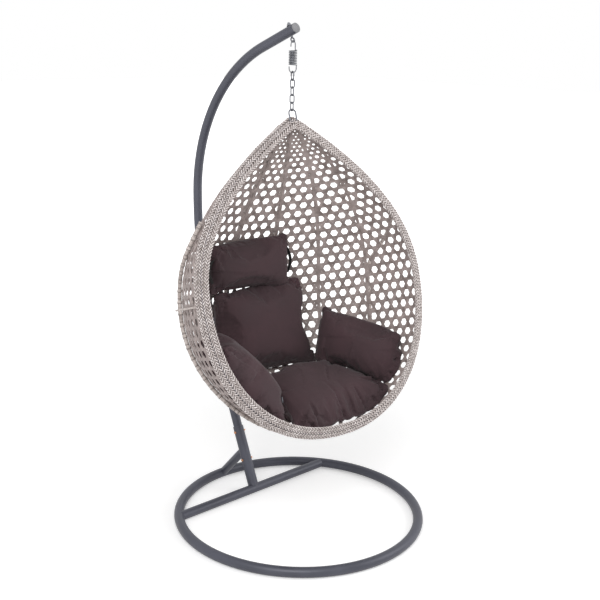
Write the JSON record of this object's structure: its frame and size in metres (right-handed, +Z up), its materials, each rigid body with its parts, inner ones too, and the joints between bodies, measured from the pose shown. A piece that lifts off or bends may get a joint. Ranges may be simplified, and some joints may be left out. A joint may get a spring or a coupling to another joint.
{
  "type": "hanging egg chair",
  "caption": "Woven egg-shaped basket chair with cushions, hung by a spring and chain from a swept pole on a ring base.",
  "frame": {"origin": "centre of the floor ring, on the floor", "axes": "+Z up, +Y towards the rear where the pole stands, +X across the stand; the stand is symmetric about X = 0"},
  "size_m": [1.0519, 1.207, 1.9804],
  "materials": {
    "powder_coat": "satin",
    "plug": "matte",
    "copper_plate": "satin",
    "zinc": "satin",
    "rim_weave": "matte",
    "wall_weave": "matte",
    "cushion_cloth": "matte",
    "webbing": "matte"
  },
  "bodies": {
    "stand": {"base_ring": "powder_coat", "cross_bar": "powder_coat", "post_socket": "powder_coat", "rear_brace": "powder_coat", "pole_lower": "powder_coat", "pole_sleeve": "powder_coat", "pole_upper": "powder_coat", "pole_cap": "plug", "socket_bolts": "copper_plate", "socket_nuts": "copper_plate", "eyebolt": "zinc", "eyebolt_washer": "zinc", "eyebolt_nut": "zinc"},
    "spring_body": {"spring": "zinc"},
    "link_1": {"chain_link_1": "zinc"},
    "link_2": {"chain_link_2": "zinc"},
    "link_3": {"chain_link_3": "zinc"},
    "link_4": {"chain_link_4": "zinc"},
    "link_5": {"chain_link_5": "zinc"},
    "basket": {"hanging_eye": "zinc", "rim_tube": "powder_coat", "rim_braid": "rim_weave", "woven_shell": "wall_weave", "rib_left_side": "wall_weave", "rib_left_mid": "wall_weave", "rib_left_back": "wall_weave", "rib_right_back": "wall_weave", "rib_right_mid": "wall_weave", "rib_right_side": "wall_weave", "rear_hoop": "wall_weave", "seat_cushion": "cushion_cloth", "back_cushion": "cushion_cloth", "arm_cushion_left": "cushion_cloth", "arm_cushion_right": "cushion_cloth", "head_pillow": "cushion_cloth", "pillow_strap_left": "webbing", "pillow_strap_right": "webbing", "zip_pull": "zinc"}
  },
  "joints": [
    {"name": "swing_fore_aft", "type": "hinge", "parent": "stand", "child": "spring_body", "pos_m": [0, 0.091, 1.90897], "axis": [0.9781, -0.2079, 0], "range_deg": [-20, 3]},
    {"name": "spring_stretch", "type": "slide", "parent": "spring_body", "child": "link_1", "axis": [0, 0, -1], "range_m": [0, 0.03], "stiffness_N_per_m": 8000, "springref_m": -0.05, "deforming": ["spring"]},
    {"name": "swing_sideways", "type": "hinge", "parent": "link_1", "child": "link_2", "pos_m": [0, 0.091, 1.76812], "axis": [0.2079, 0.9781, 0], "range_deg": [-10, 10]},
    {"name": "turn_upper", "type": "hinge", "parent": "link_2", "child": "link_3", "pos_m": [0, 0.091, 1.74247], "axis": [0, 0, 1], "range_deg": [-15, 15], "stiffness_Nm_per_rad": 1.2},
    {"name": "turn_lower", "type": "hinge", "parent": "link_3", "child": "link_4", "pos_m": [0, 0.091, 1.71417], "axis": [0, 0, 1], "range_deg": [-15, 15], "stiffness_Nm_per_rad": 1.2},
    {"name": "basket_nod", "type": "hinge", "parent": "link_4", "child": "link_5", "pos_m": [0, 0.091, 1.68322], "axis": [0.9781, -0.2079, 0], "range_deg": [-6, 2]},
    {"name": "basket_rock", "type": "hinge", "parent": "link_5", "child": "basket", "pos_m": [0, 0.091, 1.65492], "axis": [0.2079, 0.9781, 0], "range_deg": [-4, 4]}
  ]
}
